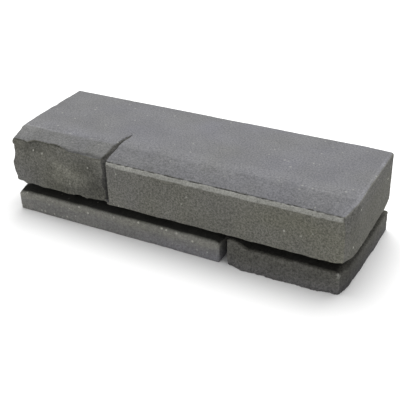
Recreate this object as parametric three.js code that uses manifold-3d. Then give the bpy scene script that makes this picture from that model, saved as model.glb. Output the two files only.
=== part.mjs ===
// Cast-stone wall block that imitates dry-laid stones: an upper course whose
// face shows a smooth stone beside a split-faced one, two slabs under it, and
// the recessed mortar between them. Millimetres, +Z up. +X runs along the
// length and -Y is the show face. The solids are drawn about the middle of the
// left slab's depth, and then moved so the origin is the middle of the base.

import * as THREE from 'three';
import { ConvexGeometry } from 'three/addons/geometries/ConvexGeometry.js';
import { mergeVertices } from 'three/addons/utils/BufferGeometryUtils.js';
import Module from 'manifold-3d';

const wasm = await Module();
wasm.setup();

// Driving dimensions of the block.
const LENGTH = 600;
const DEPTH = 207.6;           // without the split slab's bulging foot
const FOOT_BULGE = 5;          // how far that foot stands out past the left slab
const HEIGHT = 143;
const END_TAPER = 45;          // depth of the stretch where the ends draw in
const FIT_GAP = 0.3;           // clearance between neighbouring solids

// The upper course.
const BED_TOP = 52;            // its underside
const UPPER_SETBACK = 2.7;     // its face stands this far back from the slabs
const UPPER_LEFT_DRAW = 3;     // how much its ends draw in at the show face
const UPPER_RIGHT_DRAW = 6;
const CREASE_DEPTH = 40;       // where the top starts to fall to the show face
const CREASE_HEIGHT = 141.8;
const CREASE_RUN = 20;         // the top eases into the crease over this depth
const FALL_SAG = 0.4;          // how much the falling part is rounded
const LIP_DEPTH = 1.8;         // worn lip between the fall and the show face
const LIP_TOP = 131.5;
const LIP_FOOT = 123;
const BACK_CORNER = 3;         // radius of the back right corner in plan
const BACK_BEVEL = 24;         // bevel under the back edge
const BACK_BEVEL_RISE = 8;
const CORNER_RUN = 22;         // worn bottom corner at the right end
const CORNER_LIFT = 4.5;
const ARRIS_WEAR = 2.5;        // wear of the top arrises at the ends
const ARRIS_WEAR_RUN = 20;
const JOINT_X = -107.5;        // straight flank of the false joint
const JOINT_WIDTH = 9.5;       // its width at the surface
const JOINT_DEPTH = 18;        // how deep it is scored into the face and the top
const JOINT_REACH = 83;        // how far back over the top it runs out
const JOINT_SILL = 56;         // where it stops above the bed
const SPLIT_CHIP = 6.5;        // how deep the split face's top edge is chipped in its middle
const SPLIT_CELL = 9;          // facet size of the split faces

// The lower course.
const BED_BOTTOM = 42;         // top of the slabs where the mortar lies
const SLAB_ARRIS = 36.5;       // height of the slabs' front top edge
const SLAB_BACK = 37.5;        // height of their back top edge
const SLAB_SHOULDER = 34;      // depth over which the slab top slopes
const ARRIS_RADIUS = 4.5;
const LEFT_SLAB_END = 95;
const RIGHT_SLAB_START = 110;
const SLAB_CORNER = 6;         // radius of the left slab's top right corner
const KNOB_RISE = 9.5;         // how far the split slab's left end stands up
const KNOB_RUN = 34;
const LEFT_END_WEAR = 3;       // wear of the left slab's top left arris
const SLAB_LEFT_DRAW = 5.5;    // how much the ends draw in at the show face
const SLAB_RIGHT_DRAW = 12;

// The mortar.
const MORTAR_SETBACK = 45;     // from the show face and the ends
const MORTAR_BACK = 30;        // from the back

const HALF = LENGTH / 2;
const BACK = DEPTH / 2;
const FRONT = -BACK;
const UPPER_FRONT = FRONT + UPPER_SETBACK;
const CLEAR = 20;              // how far a cutter stands past what it cuts

// Colours of the dry, sandy grey concrete.
const CONCRETE = 0x7d7c7b;
const SLAB_GREY = 0x6f6e69;
const SPLIT_GREY = 0x5f5b59;
const MORTAR_GREY = 0x4a4844;

const X = new THREE.Vector3(1, 0, 0);
const Y = new THREE.Vector3(0, 1, 0);
const Z = new THREE.Vector3(0, 0, 1);

// Which way an outline's own axes and its extrusion point.
const ALONG = {
  x: new THREE.Matrix4().makeBasis(Y, Z, X),
  y: new THREE.Matrix4().makeBasis(X, Z, Y.clone().negate()),
  z: new THREE.Matrix4(),
};

function solid(geometry) {
  const bare = geometry.clone();
  bare.deleteAttribute('normal');
  bare.deleteAttribute('uv');
  const merged = mergeVertices(bare, 1e-4);
  return new wasm.Manifold(new wasm.Mesh({
    numProp: 3,
    vertProperties: new Float32Array(merged.attributes.position.array),
    triVerts: new Uint32Array(merged.index.array),
  }));
}

// An outline run right through the block along one axis.
function prism(shape, axis) {
  const geometry = new THREE.ExtrudeGeometry(shape, {
    depth: 2 * LENGTH,
    bevelEnabled: false,
    curveSegments: 6,
  });
  geometry.translate(0, 0, -LENGTH);
  geometry.applyMatrix4(ALONG[axis]);
  return solid(geometry);
}

function outline(points) {
  return new THREE.Shape(points.map(([a, b]) => new THREE.Vector2(a, b)));
}

function box(fromX, toX, fromY, toY, fromZ, toZ) {
  const geometry = new THREE.BoxGeometry(toX - fromX, toY - fromY, toZ - fromZ);
  geometry.translate((fromX + toX) / 2, (fromY + toY) / 2, (fromZ + toZ) / 2);
  return solid(geometry);
}

// A named node of one solid, moved so the block's whole depth is centred.
function piece(name, body, color, roughness) {
  const mesh = body.translate([0, FOOT_BULGE / 2, 0]).getMesh();
  const geometry = new THREE.BufferGeometry();
  geometry.setAttribute('position', new THREE.BufferAttribute(mesh.vertProperties, 3));
  geometry.setIndex(new THREE.BufferAttribute(mesh.triVerts, 1));
  geometry.computeVertexNormals();
  const material = new THREE.MeshStandardMaterial({ color, roughness, metalness: 0 });
  const result = new THREE.Mesh(geometry, material);
  result.name = name;
  return result;
}

// A block in front of the show face whose inner side follows a split surface.
function splitCutter(fromX, toX, fromZ, toZ, face) {
  const width = toX - fromX;
  const height = toZ - fromZ;
  const columns = Math.round(width / SPLIT_CELL);
  const rows = Math.round(height / SPLIT_CELL);
  const geometry = new THREE.BoxGeometry(width, 2, height, columns, 1, rows);
  geometry.translate((fromX + toX) / 2, 0, (fromZ + toZ) / 2);
  const at = geometry.attributes.position;
  for (let i = 0; i < at.count; i += 1) {
    const outside = at.getY(i) < 0;
    at.setY(i, outside ? FRONT - 2 * CLEAR : face(at.getX(i), at.getZ(i)));
  }
  return solid(geometry);
}

// One rounded swelling of a split face.
function lump(x, z, centreX, centreZ, radiusX, radiusZ) {
  return Math.exp(-(((x - centreX) / radiusX) ** 2) - ((z - centreZ) / radiusZ) ** 2);
}

// The plan of either course: the ends draw in towards the show face.
function coursePlan(front, leftDraw, rightDraw, backRadius) {
  const shape = new THREE.Shape();
  const straight = front + END_TAPER;
  const middle = front + END_TAPER / 2;
  shape.moveTo(-HALF, BACK);
  shape.lineTo(-HALF, straight);
  shape.quadraticCurveTo(-HALF + 1, middle, -HALF + leftDraw, front);
  shape.lineTo(HALF - rightDraw, front);
  shape.quadraticCurveTo(HALF - 1, middle, HALF, straight);
  shape.lineTo(HALF, BACK - backRadius);
  shape.absarc(HALF - backRadius, BACK - backRadius, backRadius, 0, Math.PI / 2);
  shape.closePath();
  return shape;
}

// The upper course from the side: a flat bed, a crease from which the top
// falls to a worn lip over the show face, and a bevel under the back edge.
function upperSide() {
  const shape = new THREE.Shape();
  const crease = UPPER_FRONT + CREASE_DEPTH;
  const lipBack = UPPER_FRONT + LIP_DEPTH;
  const sagY = (crease + lipBack) / 2;
  const sagZ = (CREASE_HEIGHT + LIP_TOP) / 2 + FALL_SAG;
  const arris = 1;
  shape.moveTo(BACK, BED_TOP + BACK_BEVEL_RISE);
  shape.lineTo(BACK, HEIGHT);
  shape.lineTo(crease + CREASE_RUN, HEIGHT);
  shape.quadraticCurveTo(crease + CREASE_RUN / 3, HEIGHT, crease, CREASE_HEIGHT);
  shape.quadraticCurveTo(sagY, sagZ, lipBack, LIP_TOP);
  shape.lineTo(UPPER_FRONT, LIP_FOOT);
  shape.lineTo(UPPER_FRONT, BED_TOP + arris);
  shape.lineTo(UPPER_FRONT + arris, BED_TOP);
  shape.lineTo(BACK - BACK_BEVEL, BED_TOP);
  shape.closePath();
  return shape;
}

// The upper course from the front: upright ends with worn top arrises, and the
// worn bottom corner at the right.
function upperFront() {
  return outline([
    [-HALF, BED_TOP - 1],
    [HALF - CORNER_RUN, BED_TOP - 1],
    [HALF - CORNER_RUN / 3, BED_TOP + CORNER_LIFT / 2],
    [HALF, BED_TOP + 2 * CORNER_LIFT],
    [HALF, HEIGHT - ARRIS_WEAR_RUN],
    [HALF - ARRIS_WEAR, HEIGHT + 1],
    [-HALF + ARRIS_WEAR, HEIGHT + 1],
    [-HALF, HEIGHT - ARRIS_WEAR_RUN],
  ]);
}

// The false joint is a V-shaped score up the face and back over the top. Its
// left flank slopes down to the straight upright right one.
function falseJoint() {
  const mouth = UPPER_FRONT - CLEAR;
  const left = JOINT_X - JOINT_WIDTH;
  const above = HEIGHT + CLEAR;
  const face = prism(outline([
    [JOINT_X, mouth],
    [JOINT_X, UPPER_FRONT + JOINT_DEPTH],
    [left, UPPER_FRONT],
    [left, mouth],
  ]), 'z').intersect(box(left - 1, JOINT_X + 1, mouth - 1, BACK, JOINT_SILL, above));
  const crease = UPPER_FRONT + CREASE_DEPTH;
  const end = UPPER_FRONT + JOINT_REACH;
  const rims = [
    [left, mouth, LIP_TOP - JOINT_DEPTH / 4],
    [left, crease, CREASE_HEIGHT - 1],
    [JOINT_X - 1, end, HEIGHT],
  ];
  const valley = [
    [JOINT_X, mouth, LIP_TOP - JOINT_DEPTH * 1.2],
    [JOINT_X, end, HEIGHT],
  ];
  const corners = [];
  for (const [x, y, z] of [...rims, ...valley]) {
    corners.push(new THREE.Vector3(x, y, z), new THREE.Vector3(x, y, above));
  }
  return face.add(solid(new ConvexGeometry(corners)));
}

function upperSplitFace(x, z) {
  const bulge = 3.5 * lump(x, z, -168, 86, 40, 22);
  const shoulder = 2.5 * lump(x, z, -262, 108, 30, 34);
  const hollow = 3 * lump(x, z, -150, 124, 34, 14);
  const leftHollow = 2 * lump(x, z, -222, 70, 30, 16);
  const ripple = 0.9 * Math.sin(x / 9 + z / 14) * Math.sin(z / 8 - x / 30);
  const chip = SPLIT_CHIP * lump(x, z, -230, 136, 40, 18);
  return UPPER_FRONT + 2.5 - bulge - shoulder + hollow + leftHollow + ripple + chip;
}

function upperStone() {
  const splitEnd = JOINT_X - JOINT_WIDTH / 2;
  const cutter = splitCutter(-HALF - CLEAR, splitEnd, BED_TOP - CLEAR, HEIGHT + CLEAR, upperSplitFace);
  const plan = coursePlan(UPPER_FRONT, UPPER_LEFT_DRAW, UPPER_RIGHT_DRAW, BACK_CORNER);
  return prism(upperSide(), 'x')
    .intersect(prism(plan, 'z'))
    .intersect(prism(upperFront(), 'y'))
    .subtract(cutter)
    .subtract(falseJoint());
}

// A slab from the side: a worn front arris, and a top that slopes up from the
// front and the back to the bed.
function slabSide(rise, face) {
  const shape = new THREE.Shape();
  const arris = SLAB_ARRIS + rise;
  shape.moveTo(BACK, 0);
  shape.lineTo(BACK, SLAB_BACK);
  shape.lineTo(BACK - MORTAR_BACK, BED_BOTTOM);
  shape.lineTo(FRONT + MORTAR_SETBACK - 1, BED_BOTTOM);
  shape.lineTo(FRONT + SLAB_SHOULDER, Math.max(BED_BOTTOM, arris));
  shape.lineTo(face + ARRIS_RADIUS, arris);
  shape.absarc(face + ARRIS_RADIUS, arris - ARRIS_RADIUS, ARRIS_RADIUS, Math.PI / 2, Math.PI);
  shape.lineTo(face, 0);
  shape.closePath();
  return shape;
}

function leftSlabFront() {
  const shape = new THREE.Shape();
  shape.moveTo(-HALF + 1.5, 0);
  shape.lineTo(LEFT_SLAB_END, 0);
  shape.lineTo(LEFT_SLAB_END, SLAB_ARRIS - SLAB_CORNER);
  shape.quadraticCurveTo(LEFT_SLAB_END, SLAB_ARRIS, LEFT_SLAB_END - SLAB_CORNER, SLAB_ARRIS);
  shape.lineTo(LEFT_SLAB_END - 5 * SLAB_CORNER, BED_BOTTOM);
  shape.lineTo(-HALF + MORTAR_SETBACK - CLEAR, BED_BOTTOM);
  shape.lineTo(-HALF, SLAB_ARRIS - LEFT_END_WEAR);
  shape.closePath();
  return shape;
}

// The split slab's left end stands up as a knob, and its right end is worn.
function rightSlabFront() {
  const shape = new THREE.Shape();
  const worn = 10;
  shape.moveTo(RIGHT_SLAB_START, 0);
  shape.lineTo(HALF - ARRIS_WEAR, 0);
  shape.lineTo(HALF, SLAB_ARRIS - worn / 2);
  shape.quadraticCurveTo(HALF - 1, SLAB_ARRIS, HALF - worn, SLAB_ARRIS + 1.5);
  shape.lineTo(HALF - MORTAR_SETBACK + worn, BED_BOTTOM);
  shape.lineTo(RIGHT_SLAB_START + KNOB_RUN, SLAB_ARRIS + 1);
  shape.lineTo(RIGHT_SLAB_START + 2, SLAB_ARRIS + KNOB_RISE);
  shape.lineTo(RIGHT_SLAB_START, SLAB_ARRIS + KNOB_RISE - 3);
  shape.closePath();
  return shape;
}

// The split slab's face bulges at its foot and leans back towards its top.
function lowerSplitFace(x, z) {
  const nearLeft = Math.min(1, Math.max(0, (x - RIGHT_SLAB_START) / 16));
  const nearRight = Math.min(1, Math.max(0, (HALF - 24 - x) / 16));
  const foot = Math.exp(-((Math.max(z, 0) / 20) ** 2));
  const bulge = (FOOT_BULGE + 2.6) * foot * Math.min(nearLeft, nearRight);
  const ripple = 0.8 * Math.sin(x / 8 + z / 11) * Math.sin(z / 7 - x / 22);
  return Math.max(FRONT - FOOT_BULGE, FRONT + 2 - bulge + ripple);
}

function leftSlab() {
  return prism(slabSide(0, FRONT), 'x')
    .intersect(prism(coursePlan(FRONT, SLAB_LEFT_DRAW, SLAB_RIGHT_DRAW, 1), 'z'))
    .intersect(prism(leftSlabFront(), 'y'));
}

function rightSlab() {
  const face = FRONT - FOOT_BULGE;
  const from = RIGHT_SLAB_START - CLEAR;
  const cutter = splitCutter(from, HALF + CLEAR, -CLEAR, BED_TOP + CLEAR, lowerSplitFace);
  return prism(slabSide(KNOB_RISE, face), 'x')
    .intersect(prism(coursePlan(face, SLAB_LEFT_DRAW, SLAB_RIGHT_DRAW, 1), 'z'))
    .intersect(prism(rightSlabFront(), 'y'))
    .subtract(cutter);
}

function bedMortar() {
  const end = HALF - MORTAR_SETBACK;
  const front = FRONT + MORTAR_SETBACK;
  const back = BACK - MORTAR_BACK;
  return box(-end, end, front, back, BED_BOTTOM + FIT_GAP, BED_TOP - FIT_GAP);
}

function perpendMortar() {
  const front = FRONT + MORTAR_SETBACK;
  const back = BACK - MORTAR_BACK;
  return box(LEFT_SLAB_END + FIT_GAP, RIGHT_SLAB_START - FIT_GAP, front, back, 0, BED_BOTTOM);
}

const block = new THREE.Group();
block.add(
  piece('upper_stone', upperStone(), CONCRETE, 0.95),
  piece('lower_left_slab', leftSlab(), SLAB_GREY, 0.95),
  piece('lower_right_slab', rightSlab(), SPLIT_GREY, 0.97),
  piece('bed_mortar', bedMortar(), MORTAR_GREY, 1),
  piece('perpend_mortar', perpendMortar(), MORTAR_GREY, 1),
);

export default block;
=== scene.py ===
"""Looks of the cast-stone wall block: every CAD stone is replaced by a fine mesh of worn, sandy concrete.

Lengths in the shape functions are in millimetres, in the directions of the CAD frame: +X along the block,
-Y out of the show face, +Z up. Y is measured from the middle of the left slab's depth, which lies SHIFT
behind the frame's origin. Everything handed to Blender is in metres.
"""
import math

import bpy
import numpy as np
from mathutils import Matrix, Vector


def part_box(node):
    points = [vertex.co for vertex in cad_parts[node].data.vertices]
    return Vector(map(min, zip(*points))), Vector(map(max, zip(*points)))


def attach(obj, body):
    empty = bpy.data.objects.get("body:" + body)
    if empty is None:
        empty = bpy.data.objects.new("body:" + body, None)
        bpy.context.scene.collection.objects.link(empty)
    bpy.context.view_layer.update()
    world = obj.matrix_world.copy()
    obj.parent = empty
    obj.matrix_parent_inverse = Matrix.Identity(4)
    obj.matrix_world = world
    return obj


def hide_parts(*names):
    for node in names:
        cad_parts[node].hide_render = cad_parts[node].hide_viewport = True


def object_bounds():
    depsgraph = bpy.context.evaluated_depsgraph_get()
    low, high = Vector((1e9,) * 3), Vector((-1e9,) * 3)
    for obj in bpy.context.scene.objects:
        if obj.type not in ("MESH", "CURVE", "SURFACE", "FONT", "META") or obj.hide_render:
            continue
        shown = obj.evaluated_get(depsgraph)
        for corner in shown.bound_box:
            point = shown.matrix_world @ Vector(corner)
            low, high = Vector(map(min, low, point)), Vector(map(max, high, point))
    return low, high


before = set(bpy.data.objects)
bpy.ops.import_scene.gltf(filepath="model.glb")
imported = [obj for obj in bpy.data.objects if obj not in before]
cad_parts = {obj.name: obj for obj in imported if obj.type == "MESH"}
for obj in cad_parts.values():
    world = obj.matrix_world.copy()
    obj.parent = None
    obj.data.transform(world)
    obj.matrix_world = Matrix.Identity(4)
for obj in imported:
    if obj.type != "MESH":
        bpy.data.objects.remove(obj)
cad_low, cad_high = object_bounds()

MM = 0.001
HALF = cad_high.x / MM
BACK = 103.8                      # back of every stone, and front of the left slab
FRONT = -BACK
SHIFT = cad_high.y / MM - BACK
FOOT_BULGE = 2 * SHIFT            # how far the split slab's foot stands out past the left slab
TOP = cad_high.z / MM


def node_box(name):
    """The CAD node's box as six numbers in mm: x0, x1, y0, y1, z0, z1."""
    low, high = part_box(name)
    x0, x1, y0, y1, z0, z1 = [v / MM for pair in zip(low, high) for v in pair]
    return [x0, x1, y0 - SHIFT, y1 - SHIFT, z0, z1]


UPPER = node_box("upper_stone")
LEFT_SLAB = node_box("lower_left_slab")
RIGHT_SLAB = node_box("lower_right_slab")
UPPER_SETBACK = 2.7               # the upper course stands back from the slabs
UPPER_FACE = FRONT + UPPER_SETBACK
BED_TOP = UPPER[4]                # underside of the upper course


# ---------------------------------------------------------------- noise

TABLE = 64                        # the noise repeats after this many cells
OCTAVE_STEP = 2.1                 # each octave's lumps are this much finer than the last one's


def noise(x, y, z, cell, seed):
    """Smooth value noise between -1 and 1, with lumps about one cell wide. Arrays broadcast together."""
    table = np.random.default_rng(seed).uniform(-1, 1, (TABLE, TABLE, TABLE)).astype(np.float32)
    low, part = [], []
    for value in (x, y, z):
        scaled = np.asarray(value, np.float32) / cell
        whole = np.floor(scaled)
        rest = scaled - whole
        low.append(whole.astype(np.int64) % TABLE)
        part.append(rest * rest * (3 - 2 * rest))
    total = 0
    for i in (0, 1):
        for j in (0, 1):
            for k in (0, 1):
                weight = 1
                for step, share in zip((i, j, k), part):
                    weight = weight * (share if step else 1 - share)
                corner = table[(low[0] + i) % TABLE, (low[1] + j) % TABLE, (low[2] + k) % TABLE]
                total = total + weight * corner
    return total


def rough(x, y, z, cell, seed, octaves=3):
    """Noise with finer and weaker lumps added."""
    total, size, share = 0, cell, 1.0
    for octave in range(octaves):
        total = total + share * noise(x, y, z, size, seed + octave)
        size, share = size / OCTAVE_STEP, share * 0.5
    return total


def smooth(low, high, value):
    """0 below low, 1 above high, and a smooth ramp between."""
    t = np.clip((value - low) / (high - low), 0, 1)
    return t * t * (3 - 2 * t)


def lump(u, v, centre_u, centre_v, radius_u, radius_v):
    """1 at a centre in the plane of u and v, fading to 0 over the two radii."""
    return np.exp(-((u - centre_u) / radius_u) ** 2 - ((v - centre_v) / radius_v) ** 2)


# ---------------------------------------------------------------- meshing

def rounded(a, b, radius):
    """The intersection of two solids given as signed distances, with its edge rounded to a radius."""
    outside = np.hypot(np.maximum(a + radius, 0), np.maximum(b + radius, 0))
    return outside - radius + np.minimum(np.maximum(a, b) + radius, 0)


def steps(*stretches):
    """Grid planes from (start, end, spacing) stretches that follow one another."""
    planes = []
    for start, end, spacing in stretches:
        count = max(1, int(round((end - start) / spacing)))
        planes.extend(np.linspace(start, end, count, endpoint=False))
    planes.append(stretches[-1][1])
    return np.array(planes, np.float32)


def surface(field, xs, ys, zs):
    """Vertices and quads of the zero surface of a field sampled on a grid (naive surface nets).

    The field is negative inside the solid, and the quads face out of it.
    """
    axes = (xs, ys, zs)
    cells = tuple(n - 1 for n in field.shape)
    sums = np.zeros((int(np.prod(cells)), 3))
    counts = np.zeros(int(np.prod(cells)))
    edges = []
    for axis in range(3):
        here = field.take(range(field.shape[axis] - 1), axis)
        there = field.take(range(1, field.shape[axis]), axis)
        index = np.stack(np.nonzero((here < 0) != (there < 0)))
        a = here[tuple(index)]
        b = there[tuple(index)]
        share = a / (a - b)
        point = np.stack([axes[n][index[n]].astype(float) for n in range(3)], 1)
        step = axes[axis][index[axis] + 1] - axes[axis][index[axis]]
        point[:, axis] += share * step
        first, second = [n for n in range(3) if n != axis]
        around = []
        for back_first, back_second in ((0, 0), (1, 0), (1, 1), (0, 1)):
            cell = index.copy()
            cell[first] -= back_first
            cell[second] -= back_second
            flat = np.ravel_multi_index(tuple(cell), cells)
            np.add.at(sums, flat, point)
            np.add.at(counts, flat, 1)
            around.append(flat)
        quads = np.stack(around, 1)
        flip = (a < 0) == (axis == 1)
        quads[flip] = quads[flip][:, ::-1]
        edges.append(quads)
    used = np.nonzero(counts)[0]
    number = np.full(len(counts), -1)
    number[used] = np.arange(len(used))
    return sums[used] / counts[used, None], number[np.concatenate(edges)]


def paint(mesh, coats):
    """Store the coats, each a number or a colour per vertex, for the material to read."""
    for name, values in coats.items():
        kind, key = ("FLOAT", "value") if values.ndim == 1 else ("FLOAT_COLOR", "color")
        layer = mesh.attributes.new(name, kind, "POINT")
        layer.data.foreach_set(key, values.astype(np.float32).ravel())


def tinted(shade, warmth):
    """A colour per vertex that the material multiplies in: brightness, leaning to olive (1) or blue (-1)."""
    lean = np.stack([1 + 0.012 * warmth, 1 + 0.012 * warmth, 1 - 0.05 * warmth, 1 + 0 * warmth], 1)
    return shade[:, None] * lean


def stone(name, node, field, grid, grain, coats, material):
    """A fine mesh of one stone: the surface of its field, roughened by its grain, riding on the root body."""
    xs, ys, zs = grid
    values = field(xs[:, None, None], ys[None, :, None], zs[None, None, :])
    values = np.broadcast_to(values, (len(xs), len(ys), len(zs))).astype(np.float32)
    points, quads = surface(values, xs, ys, zs)
    points = points + grain(points)
    mesh = bpy.data.meshes.new(name)
    mesh.from_pydata(((points + (0, SHIFT, 0)) * MM).tolist(), [], quads.tolist())
    mesh.shade_smooth()
    paint(mesh, coats(*points.T))
    piece = bpy.data.objects.new(name, mesh)
    bpy.context.scene.collection.objects.link(piece)
    mesh.materials.append(material)
    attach(piece, "root")
    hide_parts(node)


def fine_grain(amount, cell, seed):
    """Sand grain: each vertex moves a little, by amount mm at most, and stays in the block's box."""
    def move(points):
        x, y, z = points.T
        shift = [amount * noise(x, y, z, cell, seed + n) for n in range(3)]
        moved = points + np.stack(shift, 1)
        low = (-HALF, FRONT - FOOT_BULGE, 0)
        high = (HALF, BACK, TOP)
        return np.clip(moved, low, high) - points
    return move


# ---------------------------------------------------------------- upper course

JOINT_X = -108.0                  # straight flank of the false joint
JOINT_END = -17                   # where the false joint runs out, in Y
JOINT_SILL = 56                   # where it stops above the bed
JOINT_DEPTH = 18                  # how deep it is scored into the face and the top
LIP_FOOT = 123                    # lower edge of the smooth stone's worn lip
LIP_TOP = 131.5
LIP_END = 289                     # where the lip stops short of the right corner
SEAM = UPPER_FACE + 2.2           # the fine groove behind the lip
CREASE = -60                      # where the top starts to fall to the show face
RIDGE_COS, RIDGE_SIN = 0.876, 0.482   # slope of the diagonal ridge on the split face


def ridge_axes(x, z, centre_x, centre_z):
    """Distances along the diagonal ridge and across it."""
    along = (x - centre_x) * RIDGE_COS - (z - centre_z) * RIDGE_SIN
    across = (x - centre_x) * RIDGE_SIN + (z - centre_z) * RIDGE_COS
    return along, across


def split_relief(x, z):
    """How far the split face stands out, in mm: bulges, hollows, a lean back, a notch under its top edge."""
    along, across = ridge_axes(x, z, -192, 80)
    ridge = 8.0 * lump(along, across, 0, 0, 38, 12)
    left_bulge = 5.0 * lump(x, z, -280, 90, 26, 20)
    low_bulge = 3.0 * lump(x, z, -240, 50, 28, 12)
    upper_hollow = -6.5 * lump(x, z, -150, 108, 26, 13)
    left_hollow = -4.0 * lump(x, z, -250, 116, 34, 11)
    joint_hollow = -2.5 * lump(x, z, -126, 76, 16, 36)
    broad = 1.5 * rough(x, 0, z, 34, 11, 2)
    chips = 2.0 * rough(x, 0, z, 12, 21, 3)
    lumps = ridge + left_bulge + low_bulge + upper_hollow + left_hollow + joint_hollow
    notch = -1.5 * np.exp(-((z - split_edge(x)) / 1.1) ** 2)
    lean = (2.0 + 5.0 * smooth(-268, -252, x) - 7.0 * smooth(-222, -172, x)) * smooth(106, 133, z)
    return lumps + broad + chips + notch - lean


def split_painted_light_and_tone(x, z):
    """Painted highlights on the ridge's upward slopes and painted shade in the split face's hollows and under
    its ridge, with some random tone, as a share to add to its brightness.
    """
    along, across = ridge_axes(x, z, -188, 94)
    # painted highlights on the ridge's upward slopes
    painted_highlight = 0.4 * lump(along, across, 0, 0, 34, 8) + 0.06 * lump(x, z, -272, 98, 26, 16)
    painted_highlight = painted_highlight + 0.04 * lump(x, z, -238, 62, 26, 9) + 0.12 * lump(x, z, -122, 124, 12, 10)
    # painted shade in the hollows and under the ridge
    dark = 0.2 * lump(x, z, -154, 112, 22, 9) + 0.46 * lump(x, z, -133, 72, 24, 24)
    dark = dark + 0.28 * lump(x, z, -190, 62, 36, 10) + 0.14 * lump(x, z, -248, 122, 40, 9)
    return painted_highlight - dark + 0.075 * rough(x, 0, z, 16, 651, 4)


def split_edge(x):
    """Height of the dark notch under the split stone's top edge. It dips near the left end."""
    dip = 2.6 * np.exp(-((x + 264) / 9) ** 2)
    rise = 1.4 * smooth(-268, -252, x)
    return 131.2 + rise - dip + 0.7 * rough(x, 0, 0, 13, 26, 3)


def crease_line(x):
    """Where the crease runs, in Y. It wavers a little."""
    return CREASE + 1.3 * rough(x, 0, 0, 26, 35, 3)


def upper_top(x, y):
    """Height of the top: flat, then a crease, a fall to the show face and a fine groove behind the lip."""
    ease = 1.2 * smooth(-34, CREASE, y)
    fall = np.maximum(CREASE - y, 0)
    drop = 0.205 * fall + 0.001 * fall ** 2
    corner = 0.8 * smooth(-262, -296, x) * smooth(CREASE - 4, -98, y) + 1.2 * smooth(-88, -99, y)
    seam = 1.6 * seam_share(x, y) * smooth(JOINT_X, JOINT_X + 3, x) * smooth(HALF - 6, HALF - 12, x)
    return TOP - ease - drop - corner - seam + 0.22 * rough(x, y, 0, 90, 31, 2)


def seam_share(x, y):
    """1 in the fine groove behind the lip, which wavers and is broken here and there."""
    wavering = SEAM + 0.6 * rough(x, 0, 0, 6, 37, 3)
    broken = smooth(-0.9, 0.3, rough(x, 0, 0, 5, 38, 2))
    return broken * np.exp(-((y - wavering) / 0.7) ** 2)


def joint_right(y):
    """The joint's right flank: straight on the face, chipped here and there where it crosses the top."""
    return JOINT_X + 1.4 * lump(y, 0, -70, 0, 13, 1) + 1.6 * smooth(-44, -32, y)


def joint_left(y, z):
    """The joint's worn left rim: it nears the right flank towards its end, and leaves it down the face."""
    down = 5.4 * smooth(136, 120, z) + 3.0 * smooth(120, 85, z)
    narrow = 2.6 * smooth(-80, -40, y) + 6.5 * smooth(-36, JOINT_END, y)
    return JOINT_X - 8.8 - down + narrow - 0.5 * rough(0, y, z, 13, 101, 3)


def right_end(y, z):
    """Where the right end is, in X: it draws in towards the show face, and more so at the top."""
    gentle = 4.7 * np.clip((-58 - y) / 38, 0, 1) ** 1.4
    corner_cut = 3.6 * np.clip((-91 - y) / 10, 0, 1) ** 1.2
    return HALF - 0.2 - gentle - corner_cut - 3.4 * smooth(108, 132, z) * smooth(-60, -98, y)


def joint_flank(x, y, z):
    """Where the joint's left flank is, in X, and how deep below the stone's outline as a share of the V."""
    depth = np.minimum(y - UPPER_FACE, upper_top(x, y) - z)
    share = depth / (JOINT_DEPTH * (1 - 0.7 * smooth(-60, JOINT_END, y)))
    rim = joint_left(y, z)
    return rim + (joint_right(y) - rim) * share, share


def upper_field(x, y, z):
    """The upper course: a smooth stone and a split one, with a false joint scored between them."""
    is_split = smooth(JOINT_X - 2, JOINT_X - 8, x)
    lip_back = 1.8 * np.clip((z - LIP_FOOT) / (LIP_TOP - LIP_FOOT), 0, 1.2) ** 1.5
    smooth_face = UPPER_FACE + lip_back + 0.2 * rough(x, 0, z, 34, 41, 2)
    split_face = UPPER_FACE + 3.0 - split_relief(x, z)
    front = smooth_face + (split_face - smooth_face) * is_split - y
    back = y - BACK + 0.3 + 0.4 * rough(x, 0, z, 9, 51, 3)

    right = x - right_end(y, z) + 0.3 * rough(0, y, z, 22, 61, 3)
    near_left = np.clip((-66 - y) / 35, 0, 1) ** 1.3
    left_draw = 3.6 * smooth(89, 103, z) - 1.9 * lump(z, 0, 127, 0, 4, 1) + 4.5 * smooth(131, 142, z)
    foot_draw = 1.2 * smooth(57, 52, z)
    left = -HALF - 0.2 + near_left * (left_draw + foot_draw) - x + 0.6 * rough(0, y, z, 15, 71, 3)

    top = z - upper_top(x, y)
    back_bevel = 8 * smooth(BACK - 26, BACK, y)
    corner = 4.5 * smooth(HALF - 26, HALF - 4, x) * smooth(-70, -96, y)
    ragged = 0.8 * rough(x, y, 0, 12, 81, 3)
    split_foot = 0.8 * is_split * smooth(-60, -95, y) * rough(x, 0, 0, 20, 86, 3)
    bottom = BED_TOP + 0.3 + back_bevel + corner + ragged + split_foot - z

    ends = np.maximum(right, left)
    back_right = smooth(60, 95, y) * smooth(240, 290, x)
    plan = rounded(np.maximum(front, back), ends, 0.8 + 2.4 * back_right)
    wear = 1.1 + 0.5 * rough(x, y, z, 18, 91, 2) + 1.3 * smooth(HALF - 14, HALF - 2, x) + 2.6 * back_right
    body = rounded(rounded(plan, top, wear), bottom, 1.2)

    # The false joint is a V: a worn left flank slopes down to the straight right one.
    flank = joint_flank(x, y, z)[0]
    joint = np.maximum(np.maximum(x - joint_right(y), flank - x), np.maximum(y - JOINT_END, JOINT_SILL - z))
    flank_wear = 0.6 + 1.6 * smooth(JOINT_X - 2, JOINT_X - 6, x)
    return rounded(body, -joint, flank_wear)


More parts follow.
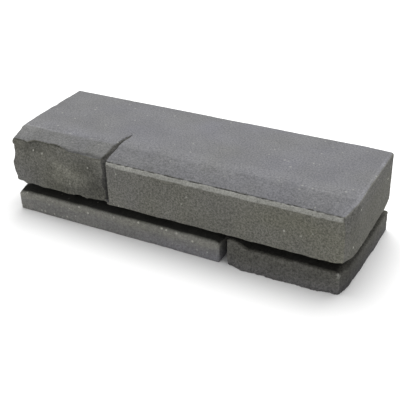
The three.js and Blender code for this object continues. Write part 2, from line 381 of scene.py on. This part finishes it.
def upper_coats(x, y, z):
    """Dark coarse fall, pale lip that is partly a painted highlight, painted shade in the seam, under the
    split edge and in the false joint, painted light and shade on the split face's relief, worn arrises, and
    olive and brown clouds on the show face.
    """
    surface_z = upper_top(x, y)
    skin = smooth(3.4, 1.4, surface_z - z)
    crease = crease_line(x)
    fall = skin * smooth(crease + 2, crease - 3, y)
    smooth_part = smooth(JOINT_X - 0.6, JOINT_X + 0.6, x)
    split_part = 1 - smooth_part
    upright = 1 - skin

    lip_foot = LIP_FOOT + 0.8 * rough(x, 0, 0, 7, 621, 3) + 2.5 * smooth(JOINT_X + 26, JOINT_X + 4, x)
    at_face = smooth(SEAM + 0.2, SEAM - 0.6, y)
    ends = smooth(JOINT_X, JOINT_X + 1.5, x) * smooth(LIP_END, LIP_END - 3, x)
    lip = smooth(lip_foot - 0.6, lip_foot + 0.8, z) * at_face * ends
    # painted shade: the seam mask darkens the fine groove behind the lip, standing in for its shadow
    seam = np.sqrt(seam_share(x, y)) * skin * smooth_part * smooth(HALF - 8, HALF - 12, x)

    light_band = skin * lump(y, 0, -44, 0, 13, 1)
    line_reach = smooth(-180, -262, x) + 0.5 * smooth(190, 250, x)
    light_line = skin * np.exp(-((y - crease - 1) / 2.4) ** 2) * line_reach
    left_corner = fall * smooth(-262, -276, x)
    split_fall = fall * split_part * (1 - left_corner)
    end_x = right_end(y, surface_z)
    right_arris = smooth(end_x - 8, end_x - 5, x) * smooth(surface_z - 4, surface_z - 2, z)
    right_arris = right_arris * (0.35 + 0.65 * smooth(0, 0.7, rough(0, y, 0, 14, 631, 3)))
    # painted shade: darkens the notch under the split stone's top edge, standing in for its shadow
    notch = split_part * np.exp(-((z - split_edge(x)) / 1.3) ** 2)
    notch = notch * smooth(UPPER_FACE + 14, UPPER_FACE + 12, y)
    flank, depth_share = joint_flank(x, y, z)
    # painted shade in the false joint, darker towards its valley, leaning to blue
    joint_shade_mask = smooth(flank - 1.4, flank - 0.4, x) * smooth(joint_right(y) + 0.8, joint_right(y), x)
    joint_shade_mask = joint_shade_mask * smooth(JOINT_END + 1, JOINT_END - 2, y) * smooth(JOINT_SILL - 1, JOINT_SILL + 1, z)
    joint_shade_mask = joint_shade_mask * (0.3 + 0.5 * smooth(0.3, 0.9, depth_share))

    shade = 0.965 + 0.03 * rough(x, y, z, 60, 641, 3)
    shade = shade * (1 - 0.05 * fall - 0.05 * split_fall + 0.09 * light_band + 0.08 * left_corner
                     + 0.3 * light_line + 0.36 * right_arris)
    # painted shade: the seam, the notch under the split edge and the false joint are darkened here
    shade = shade * (1 - 0.85 * seam) * (1 - 0.45 * notch) * (1 - joint_shade_mask)
    shade = shade * (1 + smooth_part * upright * (0.06 * smooth(0, -90, x) - 0.03 * lump(x, 0, 50, 0, 50, 1)))
    on_end = upright * smooth(UPPER_FACE + 0.6, UPPER_FACE + 1.8, y) * smooth(HALF - 20, HALF - 15, x)
    corner_strip = on_end * smooth(-88, -92, y)
    shade = shade * (1 - 0.17 * on_end - 0.06 * on_end * smooth(-40, -80, y) + 0.08 * corner_strip)
    # painted light and shade of the split face's relief, with its random tone
    broken = split_part * upright * smooth(-70, -80, y)
    shade = shade * (1 + broken * (split_painted_light_and_tone(x, z) - 0.08 + 0.05 * smooth(-150, -120, x)))
    olive = 0.9 * rough(x, 0, z, 70, 661, 3) + 0.4 * smooth(60, 200, x) + 1.2 * lump(x, z, 215, 104, 62, 24)
    warmth = upright * olive + 0.8 * left_corner + 0.9 * split_fall
    # the blue lean of the false joint's painted shade
    warmth = warmth - 1.0 * on_end - 0.6 * corner_strip - 2.5 * joint_shade_mask
    warmth = warmth + 0.5 * skin * rough(x, y, 0, 60, 671, 3)
    # the lip's pale coat is partly paler cement and partly a painted highlight
    pale = lip * (0.88 + 0.1 * rough(x, 0, z, 9, 681, 2))
    coarse = np.maximum(0.7 * fall, upright) * (1 - 0.8 * lip)
    return {"tint": tinted(shade, warmth), "pale": pale, "coarse": coarse}


# ---------------------------------------------------------------- lower course

SLAB_ARRIS = 36.5                 # height of the slabs' worn arrises
SLAB_RISE = 5.5                   # how much higher the bed lies
SLAB_SHOULDER = 36                # depth over which the top rises to it
KNOB_RISE = 9.5                   # how far the split slab's left end stands up


def slab_top(x, y, left, right):
    """Height of a slab's top: it rises from the worn arrises to the bed."""
    inset = np.minimum(y - FRONT, BACK - y)
    inset = np.minimum(inset, (x - left) * 1.2 + 2)
    inset = np.minimum(inset, (right - x) * 1.2 + 2)
    return SLAB_ARRIS + SLAB_RISE * smooth(0, SLAB_SHOULDER, inset)


def left_slab_field(x, y, z):
    """The worn slab: rounded arrises, with both ends lower at the front."""
    x0, x1, y0, y1 = LEFT_SLAB[:4]
    near_face = np.clip((-52 - y) / 50, 0, 1) ** 1.5
    front = y0 + 0.5 + 0.5 * rough(x, 0, z, 24, 201, 3) - y
    back = y - y1 + 0.8 + 0.5 * rough(x, 0, z, 20, 211, 3)
    draw = near_face * (5.0 + 1.5 * smooth(24, 36, z))
    left = x0 + 0.3 + draw + 0.6 * rough(0, y, z, 14, 221, 3) - x
    right = x - x1 + 0.4 + 0.4 * rough(0, y, z, 16, 231, 2)
    low_end = 2.8 * smooth(x0 + 30, x0 + 6, x) * smooth(-82, -102, y)
    low_end = low_end + 5 * smooth(x1 - 9, x1, x) ** 2
    top = z - slab_top(x, y, x0, HALF) + low_end - 0.5 * rough(x, y, 0, 18, 241, 3)
    plan = rounded(rounded(front, right, 2.0), np.maximum(back, left), 1.8)
    arris = 3.6 + 1.0 * rough(x, y, 0, 30, 261, 2)
    return np.maximum(rounded(plan, top, arris), -z)


def left_slab_coats(x, y, z):
    """The worn arris is paler and olive; the foot is painted lighter, a painted light standing in for the
    floor's bounce, and leans to blue; the top under the upper course carries painted shade.
    """
    arris = smooth(20, 28, z + 2 * rough(x, 0, 0, 20, 701, 3))
    # painted shade on the slab top under the upper course
    bed_shade = smooth(FRONT + 2, FRONT + 6, y) * smooth(31, 34, z)
    # painted shadow of the upper course on the arris's top
    top_edge_shadow = smooth(32.5, 36, z) * (0.7 + 0.3 * rough(x, 0, 0, 16, 705, 2))
    # the foot term is painted light, standing in for the floor's bounce
    shade = 0.96 + 0.05 * rough(x, y, z, 30, 711, 4) + 0.1 * arris + 0.09 * smooth(17, 6, z)
    shade = shade * (1 - 0.8 * bed_shade) * (1 - 0.35 * top_edge_shadow)
    warmth = 1.1 * arris - 1.5 * smooth(22, 8, z) * smooth(-160, 20, x) + 0.4 * rough(x, 0, z, 60, 721, 2)
    return {"tint": tinted(shade, warmth), "pale": 0 * x, "coarse": 0.6 + 0 * x}


def right_slab_face(x, z):
    """How far the right slab's split face stands out: it bulges at its foot."""
    x0, x1 = RIGHT_SLAB[:2]
    ends = smooth(x0 + 7, x0 + 24, x) * smooth(x1 - 22, x1 - 44, x)
    foot = (FOOT_BULGE + 0.4) * np.exp(-(np.maximum(z, 0) / 19) ** 2) * ends
    return foot + 1.2 * rough(x, 0, z, 26, 301, 2) + 1.3 * rough(x, 0, z, 10, 311, 3)


def right_slab_field(x, y, z):
    """The split slab: a bulging foot, a knob at its left end and a worn right corner."""
    x0, x1 = RIGHT_SLAB[:2]
    y1 = RIGHT_SLAB[3]
    draw = 3.4 * np.clip((50 - y) / 110, 0, 1) + 8.5 * np.clip((-70 - y) / 34, 0, 1) ** 1.3
    front = FRONT + 1.8 - 1.4 * smooth(x0 + 10, x0, x) - right_slab_face(x, z) - y
    back = y - y1 + 0.6 + 0.5 * rough(x, 0, z, 20, 321, 3)
    left = x0 - 1.6 + 0.6 * rough(0, y, z, 14, 331, 3) - x
    right = x - x1 + 0.3 + draw + 0.5 * rough(0, y, z, 22, 341, 3)
    knob = KNOB_RISE * smooth(x0 + 36, x0 + 4, x) * smooth(-66, -74, y)
    worn = 3.0 * smooth(x1 - 14, x1, x) * smooth(90, 30, y)
    top = z - slab_top(x, y, -HALF, x1) - knob + worn - 0.7 * rough(x, y, 0, 13, 351, 3)
    plan = rounded(np.maximum(front, back), np.maximum(right, left), 0.6)
    arris = 1.6 + 1.0 * smooth(x1 - 30, x1 - 4, x)
    return np.maximum(rounded(plan, top, arris), -z)


def right_slab_coats(x, y, z):
    """The foot is painted paler than the rest of the split face, a painted light on its upward-leaning bulge,
    and the end is paler towards the back. The top under the upper course carries painted shade.
    """
    x1 = RIGHT_SLAB[1]
    on_end = smooth(x1 - 20, x1 - 15, x) * smooth(FRONT + 2.5, FRONT + 4.5, y)
    # painted shade on the slab top under the upper course
    bed_shade = smooth(FRONT + 4, FRONT + 9, y) * smooth(30, 34, z) * (1 - on_end)
    # the foot term is painted light on its upward-leaning bulge
    shade = 0.88 + 0.1 * rough(x, y, z, 24, 731, 3) + 0.32 * smooth(24, 4, z) * (1 - on_end)
    shade = shade * (1 - 0.75 * bed_shade - on_end * (0.3 - 0.3 * smooth(-70, 60, y)))
    warmth = 0.7 * smooth(16, 30, z) - 1.2 * smooth(16, 4, z) + 0.4 * rough(x, 0, z, 40, 741, 2)
    chip = 0.6 * lump(x, y, x1 - 13, FRONT + 2, 2, 2) * smooth(28, 31, z)
    return {"tint": tinted(shade, warmth), "pale": chip, "coarse": 0.9 + 0 * x}


# ---------------------------------------------------------------- mortar

def mortar_field(box, seed):
    """Rough joint fill: a box whose open sides are uneven."""
    x0, x1, y0, y1, z0, z1 = box

    def field(x, y, z):
        uneven = 1.5 + 1.5 * rough(x, y, z, 12, seed, 3)
        sides = np.maximum(np.maximum(x0 - x, x - x1), np.maximum(y0 - y, y - y1)) + uneven
        return rounded(sides, np.maximum(z0 - z, z - z1), 1.0)
    return field


# ---------------------------------------------------------------- materials

class Nodes:
    """Short ways to add shader nodes to one material."""

    def __init__(self, name):
        self.material = bpy.data.materials.new(name)
        self.material.use_nodes = True
        self.tree = self.material.node_tree
        self.shader = self.tree.nodes["Principled BSDF"]
        self.shader.inputs["Specular IOR Level"].default_value = 0.25
        self.place = self.tree.nodes.new("ShaderNodeTexCoord").outputs["Object"]

    def link(self, source, target):
        self.tree.links.new(source, target)

    def coat(self, name, output="Fac"):
        """A coat painted on the mesh."""
        node = self.tree.nodes.new("ShaderNodeAttribute")
        node.attribute_name = name
        return node.outputs[output]

    def noise(self, size_mm, detail=2.0, rough_share=0.5):
        """Procedural noise with lumps of about this size."""
        node = self.tree.nodes.new("ShaderNodeTexNoise")
        node.inputs["Scale"].default_value = 1 / (size_mm * MM)
        node.inputs["Detail"].default_value = detail
        node.inputs["Roughness"].default_value = rough_share
        self.link(self.place, node.inputs["Vector"])
        return node.outputs["Fac"]

    def grains(self, spacing_mm, share, low, high):
        """1 inside scattered grains: a share of them is there, with radii from low to high mm."""
        node = self.tree.nodes.new("ShaderNodeTexVoronoi")
        node.inputs["Scale"].default_value = 1 / (spacing_mm * MM)
        self.link(self.place, node.inputs["Vector"])
        random = self.tree.nodes.new("ShaderNodeSeparateColor")
        self.link(node.outputs["Color"], random.inputs[0])
        radius = self.ramp(random.outputs["Green"], 0, 1, low / spacing_mm, high / spacing_mm)
        inside = self.math("LESS_THAN", node.outputs["Distance"], radius)
        there = self.math("LESS_THAN", random.outputs["Red"], share)
        return self.math("MULTIPLY", self.math("MULTIPLY", inside, there), random.outputs["Blue"])

    def ramp(self, value, low, high, start=0.0, end=1.0):
        """A smooth ramp from start at low to end at high."""
        node = self.tree.nodes.new("ShaderNodeMapRange")
        node.interpolation_type = "SMOOTHSTEP"
        for key, number in (("From Min", low), ("From Max", high), ("To Min", start), ("To Max", end)):
            node.inputs[key].default_value = number
        self.link(value, node.inputs["Value"])
        return node.outputs["Result"]

    def math(self, kind, a, b):
        node = self.tree.nodes.new("ShaderNodeMath")
        node.operation = kind
        for socket, value in zip(node.inputs, (a, b)):
            if isinstance(value, (int, float)):
                socket.default_value = value
            else:
                self.link(value, socket)
        return node.outputs["Value"]

    def mix(self, share, a, b, kind="MIX"):
        node = self.tree.nodes.new("ShaderNodeMix")
        node.data_type = "RGBA"
        node.blend_type = kind
        for key, value in ((0, share), (6, a), (7, b)):
            socket = node.inputs[key]
            if isinstance(value, (int, float)):
                socket.default_value = value
            elif isinstance(value, tuple):
                socket.default_value = (*value, 1)
            else:
                self.link(value, socket)
        return node.outputs[2]

    def finish(self, color, height, distance_mm, strength):
        """Connect the colour, a rough finish and a bump from the height."""
        roughness = self.ramp(self.noise(5, 2), 0.3, 0.7, 0.84, 0.98)
        self.link(roughness, self.shader.inputs["Roughness"])
        bump = self.tree.nodes.new("ShaderNodeBump")
        bump.inputs["Distance"].default_value = distance_mm * MM
        bump.inputs["Strength"].default_value = strength
        self.link(height, bump.inputs["Height"])
        self.link(bump.outputs["Normal"], self.shader.inputs["Normal"])
        self.link(color, self.shader.inputs["Base Color"])
        return self.material


# paler cement for the chip and the lip; on the lip it is partly a painted highlight
PALE_CEMENT_AND_HIGHLIGHT = (0.315, 0.315, 0.29)
PIT = (0.05, 0.05, 0.045)
SPECK = (0.45, 0.45, 0.4)
# painted shade: the joint fill is near-black, standing in for the shade deep in the joints
SHADED_JOINT_FILL = (0.05, 0.048, 0.042)


def concrete(name, up, front, sandy, speck_share):
    """Sandy cast concrete. It has one tint on the faces that look up and another on the upright ones."""
    n = Nodes(name)
    normal = n.tree.nodes.new("ShaderNodeNewGeometry").outputs["Normal"]
    split = n.tree.nodes.new("ShaderNodeSeparateXYZ")
    n.link(normal, split.inputs[0])
    facing_up = n.ramp(split.outputs["Z"], 0.55, 0.9)
    base = n.mix(1.0, n.mix(facing_up, front, up), n.coat("tint", "Color"), "MULTIPLY")
    base = n.mix(n.coat("pale"), base, PALE_CEMENT_AND_HIGHLIGHT)
    clouds = n.ramp(n.noise(45, 4), 0.3, 0.7, 0.95, 1.05)
    fine = n.ramp(n.noise(2.6, 3, 0.75), 0.3, 0.7, 1 - sandy, 1 + sandy)
    coarse = n.ramp(n.noise(3.3, 3, 0.85), 0.3, 0.7, 1 - 1.5 * sandy, 1 + 1.5 * sandy)
    sand = n.mix(n.coat("coarse"), fine, coarse)
    toned = n.mix(1.0, base, n.mix(1.0, clouds, sand, "MULTIPLY"), "MULTIPLY")
    pits = n.grains(6, 0.5, 0.5, 1.1)
    pitted = n.mix(n.math("MULTIPLY", pits, 0.6), toned, PIT)
    specks = n.math("MULTIPLY", n.grains(9, speck_share, 0.4, 2.0), n.ramp(facing_up, 0, 1, 0.9, 0.3))
    specked = n.mix(specks, pitted, SPECK)
    height = n.math("SUBTRACT", n.noise(1.8, 3, 0.75), n.math("MULTIPLY", pits, 0.6))
    return n.finish(specked, height, 0.6, 0.6)


upper_material = concrete("cast_concrete", (0.138, 0.138, 0.144), (0.146, 0.144, 0.127), 0.3, 0.3)
slab_material = concrete("slab_concrete", (0.15, 0.15, 0.14), (0.187, 0.185, 0.177), 0.3, 0.3)
split_material = concrete("split_concrete", (0.09, 0.088, 0.08), (0.1, 0.098, 0.091), 0.35, 0.04)
mortar_material = concrete("joint_mortar", SHADED_JOINT_FILL, SHADED_JOINT_FILL, 0.3, 0.0)


# ---------------------------------------------------------------- pieces

MARGIN = 4.0                      # the grids reach this far past the solids
CELL = 2.7   # spacing where the surface is plain
GRAIN_CELL = 2.6


def plain_coats(x, y, z):
    """One even tint. Every coat takes all three coordinates."""
    return {"tint": tinted(1 + 0 * x, 0 * x), "pale": 0 * x, "coarse": 1 + 0 * x}


stone("upper_stone_cast", "upper_stone", upper_field,
      (steps((-HALF - MARGIN, -126, 2.2), (-126, -100, 1.0),
             (-100, HALF - 12, CELL), (HALF - 12, HALF + MARGIN, 1.6)),
       steps((FRONT - MARGIN, -94, 0.65), (-94, CREASE + 8, 2.0), (CREASE + 8, BACK + MARGIN, CELL)),
       steps((BED_TOP - MARGIN, 62, 1.4), (62, 120, 2.4), (120, TOP + MARGIN, 1.0))),
      fine_grain(0.18, GRAIN_CELL, 401), upper_coats, upper_material)
stone("lower_left_slab_cast", "lower_left_slab", left_slab_field,
      (steps((LEFT_SLAB[0] - MARGIN, LEFT_SLAB[1] + MARGIN, CELL)),
       steps((FRONT - MARGIN, -92, 1.2), (-92, BACK + MARGIN, CELL)),
       steps((-MARGIN, 50, 1.5))),
      fine_grain(0.2, GRAIN_CELL, 411), left_slab_coats, slab_material)
stone("lower_right_slab_cast", "lower_right_slab", right_slab_field,
      (steps((RIGHT_SLAB[0] - MARGIN, RIGHT_SLAB[1] + MARGIN, 1.6)),
       steps((FRONT - FOOT_BULGE - MARGIN, -90, 1.1), (-90, BACK + MARGIN, CELL)),
       steps((-MARGIN, 52, 1.4))),
      fine_grain(0.3, GRAIN_CELL, 421), right_slab_coats, split_material)
for mortar in ("bed_mortar", "perpend_mortar"):
    box = node_box(mortar)
    stone(mortar + "_fill", mortar, mortar_field(box, 501),
          (steps((box[0] - MARGIN, box[1] + MARGIN, 3)),
           steps((box[2] - MARGIN, box[3] + MARGIN, 3)),
           steps((box[4] - MARGIN, box[5] + MARGIN, 1.7))),
          fine_grain(0.3, GRAIN_CELL, 431), plain_coats, mortar_material)


# ---------------------------------------------------------------- camera, floor and light

SENSOR = 36.0                     # mm
TARGET = Vector((0.0131, -0.0111 + SHIFT * MM, 0.0441))
DISTANCE = 1.3328
AZIMUTH, ELEVATION, ROLL = 28.69, 30.24, -1.61
LENS = 72.05                      # mm
FLOOR_REACH = 6.0
FLOOR_WHITE = 0.86


def camera(target, distance, azimuth, elevation, roll, lens):
    """A camera that looks at the target, with its angles in degrees."""
    a, e, r = (math.radians(v) for v in (azimuth, elevation, roll))
    ahead = Vector((-math.sin(a) * math.cos(e), math.cos(a) * math.cos(e), -math.sin(e)))
    right = Vector((math.cos(a), math.sin(a), 0))
    up = right.cross(ahead)
    side = math.cos(r) * right + math.sin(r) * up
    upright = -math.sin(r) * right + math.cos(r) * up
    turn = Matrix((side, upright, -ahead)).transposed()
    data = bpy.data.cameras.new("camera")
    data.lens = lens
    data.sensor_width = SENSOR
    eye = bpy.data.objects.new("camera", data)
    eye.matrix_world = Matrix.Translation(target - ahead * distance) @ turn.to_4x4()
    bpy.context.scene.collection.objects.link(eye)
    bpy.context.scene.camera = eye


def area_light(name, direction, distance, size, power):
    """A white disk light that faces the origin from a direction."""
    data = bpy.data.lights.new(name, "AREA")
    data.shape = "DISK"
    data.size = size
    data.energy = power
    lamp = bpy.data.objects.new(name, data)
    away = Vector(direction).normalized()
    lamp.location = away * distance
    lamp.rotation_euler = away.to_track_quat("Z", "Y").to_euler()
    bpy.context.scene.collection.objects.link(lamp)


def pale_floor():
    """A wide matt floor."""
    mesh = bpy.data.meshes.new("floor")
    reach = FLOOR_REACH
    corners = [(-reach, -reach, 0), (reach, -reach, 0), (reach, reach, 0), (-reach, reach, 0)]
    mesh.from_pydata(corners, [], [(0, 1, 2, 3)])
    floor = bpy.data.objects.new("floor", mesh)
    material = bpy.data.materials.new("floor")
    material.use_nodes = True
    shader = material.node_tree.nodes["Principled BSDF"]
    shader.inputs["Base Color"].default_value = (FLOOR_WHITE, FLOOR_WHITE, FLOOR_WHITE, 1)
    shader.inputs["Roughness"].default_value = 1.0
    shader.inputs["Specular IOR Level"].default_value = 0.0
    mesh.materials.append(material)
    bpy.context.scene.collection.objects.link(floor)


def studio():
    """Even white surroundings, with one large light above and behind."""
    scene = bpy.context.scene
    scene.view_settings.view_transform = "Standard"
    world = bpy.data.worlds.new("studio")
    world.use_nodes = True
    background = world.node_tree.nodes["Background"]
    background.inputs["Color"].default_value = (1, 1, 1, 1)
    background.inputs["Strength"].default_value = 0.6
    scene.world = world
    area_light("key", (-0.05, 0.3, 0.95), 2.2, 2.2, 62)


camera(TARGET, DISTANCE, AZIMUTH, ELEVATION, ROLL, LENS)
pale_floor()
studio()
